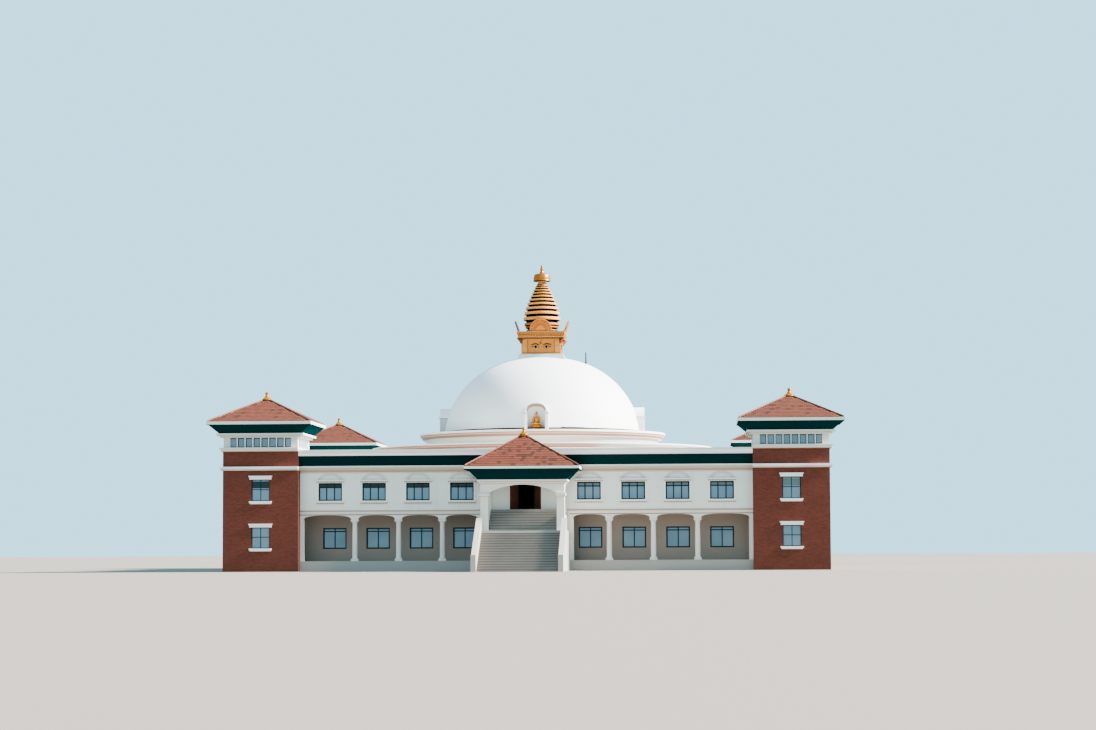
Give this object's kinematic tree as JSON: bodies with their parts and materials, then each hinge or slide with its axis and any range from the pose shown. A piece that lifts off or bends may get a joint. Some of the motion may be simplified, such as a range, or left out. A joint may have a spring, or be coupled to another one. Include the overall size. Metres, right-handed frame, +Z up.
{
  "type": "stupa temple, half-size model",
  "caption": "White domed stupa with a gilded ringed spire on a square arcaded base with brick corner towers, a roofed portico and steps; half the real size.",
  "frame": {"origin": "on the ground under the spire's axis, at the underside of the base plinth", "axes": "+Z up, the front with the portico and steps faces -Y, +X to the right seen from behind the portico"},
  "size_m": [23.2, 26.7303, 12.385],
  "materials": {
    "plaster": "painted masonry plaster",
    "stone": "rough stone and cement",
    "brick": "unglazed brickwork",
    "roof_tile": "dull clay tile",
    "gilding": "gilt metal",
    "window_glass": "tinted glass",
    "rod_metal": "dull"
  },
  "bodies": {
    "root": {"base_plinth": "stone", "first_floor": "plaster", "roof_and_eave": "plaster", "ground_wall_front": "plaster", "ground_glass_front": "window_glass", "upper_wall_front": "plaster", "upper_glass_front": "window_glass", "ground_wall_right": "plaster", "ground_glass_right": "window_glass", "upper_wall_right": "plaster", "upper_glass_right": "window_glass", "ground_wall_back": "plaster", "ground_glass_back": "window_glass", "upper_wall_back": "plaster", "upper_glass_back": "window_glass", "ground_wall_left": "plaster", "ground_glass_left": "window_glass", "upper_wall_left": "plaster", "upper_glass_left": "window_glass", "arcade_front_left": "plaster", "arcade_front_right": "plaster", "arcade_right": "plaster", "arcade_back": "plaster", "arcade_left": "plaster", "lower_terrace": "plaster", "upper_terrace": "plaster", "dome": "plaster", "niche_front": "plaster", "seated_figure_front": "gilding", "niche_right": "plaster", "seated_figure_right": "gilding", "niche_back": "plaster", "seated_figure_back": "gilding", "niche_left": "plaster", "seated_figure_left": "gilding", "box_plinth": "plaster", "faced_box": "gilding", "crowned_cornice": "gilding", "ringed_spire": "gilding", "canopy_and_finial": "gilding", "lightning_rod": "rod_metal", "portico_podium": "stone", "lower_steps": "stone", "upper_steps": "stone", "portico_frame": "plaster", "portico_eave": "plaster", "portico_roof": "roof_tile", "tower_walls_front_left": "brick", "tower_attic_front_left": "plaster", "tower_roof_front_left": "roof_tile", "tower_walls_front_right": "brick", "tower_attic_front_right": "plaster", "tower_roof_front_right": "roof_tile", "tower_walls_back_right": "brick", "tower_attic_back_right": "plaster", "tower_roof_back_right": "roof_tile", "tower_walls_back_left": "brick", "tower_attic_back_left": "plaster", "tower_roof_back_left": "roof_tile"}
  },
  "joints": []
}
